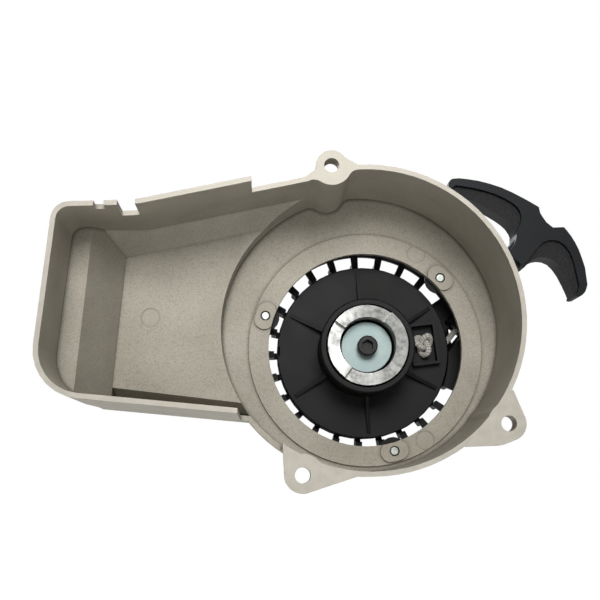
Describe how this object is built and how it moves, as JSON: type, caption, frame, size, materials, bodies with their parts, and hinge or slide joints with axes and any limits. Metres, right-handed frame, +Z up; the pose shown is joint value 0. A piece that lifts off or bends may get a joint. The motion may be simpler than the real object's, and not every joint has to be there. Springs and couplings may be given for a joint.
{
  "type": "recoil starter side cover",
  "caption": "Die-cast engine side cover with a built-in recoil starter: sprung rope reel, face-toothed dog ring and T-shaped pull handle.",
  "frame": {"origin": "on the reel axis, in the plane where the bolt ears meet the engine", "axes": "+Z up as fitted, +X along the long side towards the round bay, +Y away from the engine along the reel axis"},
  "size_m": [0.2645, 0.0995, 0.162],
  "materials": {
    "cast_aluminium": "die-cast, fine shot-blasted",
    "rivet_aluminium": "plain",
    "black_plastic": "moulded, semi-matte",
    "handle_plastic": "moulded, matte, grained grip zones",
    "worn_steel": "bright, worn",
    "zinc_plate": "bluish zinc plate",
    "black_oxide": "black oxide",
    "spring_steel": "blued",
    "bronze": "sintered",
    "rope": "braided"
  },
  "bodies": {
    "cover": {"side_cover": "cast_aluminium", "starter_housing": "black_plastic", "rivet_1": "rivet_aluminium", "rivet_2": "rivet_aluminium", "rivet_3": "rivet_aluminium", "centre_post": "spring_steel", "thrust_washer": "spring_steel", "retaining_washer": "zinc_plate", "centre_screw": "black_oxide", "spring_cup": "spring_steel", "recoil_spring": "spring_steel", "rope_guide": "zinc_plate", "rope_lead": "rope"},
    "reel": {"reel": "black_plastic", "reel_bush": "bronze", "rope_coils": "rope", "rope_knot": "rope", "dog_spring": "spring_steel"},
    "dog": {"dog_ring": "worn_steel"},
    "handle": {"handle_grip": "handle_plastic", "rope_tail": "rope", "handle_knot": "rope", "handle_cap": "handle_plastic"}
  },
  "joints": [
    {"name": "reel_spin", "type": "hinge", "parent": "cover", "child": "reel", "pos_m": [0, 0, 0], "axis": [0, -1, 0], "range_deg": [0, 1320], "stiffness_Nm_per_rad": 0.02, "springref_deg": -687.55, "deforming": ["recoil_spring"]},
    {"name": "dog_slide", "type": "slide", "parent": "reel", "child": "dog", "axis": [0, 1, 0], "range_m": [0, 0.004], "stiffness_N_per_m": 800, "springref_m": -0.005, "deforming": ["dog_spring"]},
    {"name": "handle_pull", "type": "slide", "parent": "cover", "child": "handle", "axis": [0.6341, 0, 0.7733], "range_m": [0, 0.6912], "deforming": ["rope_lead"]}
  ],
  "couplings": [
    {"joint": "handle_pull", "follows": "reel_spin", "m_per_rad": 0.03}
  ]
}
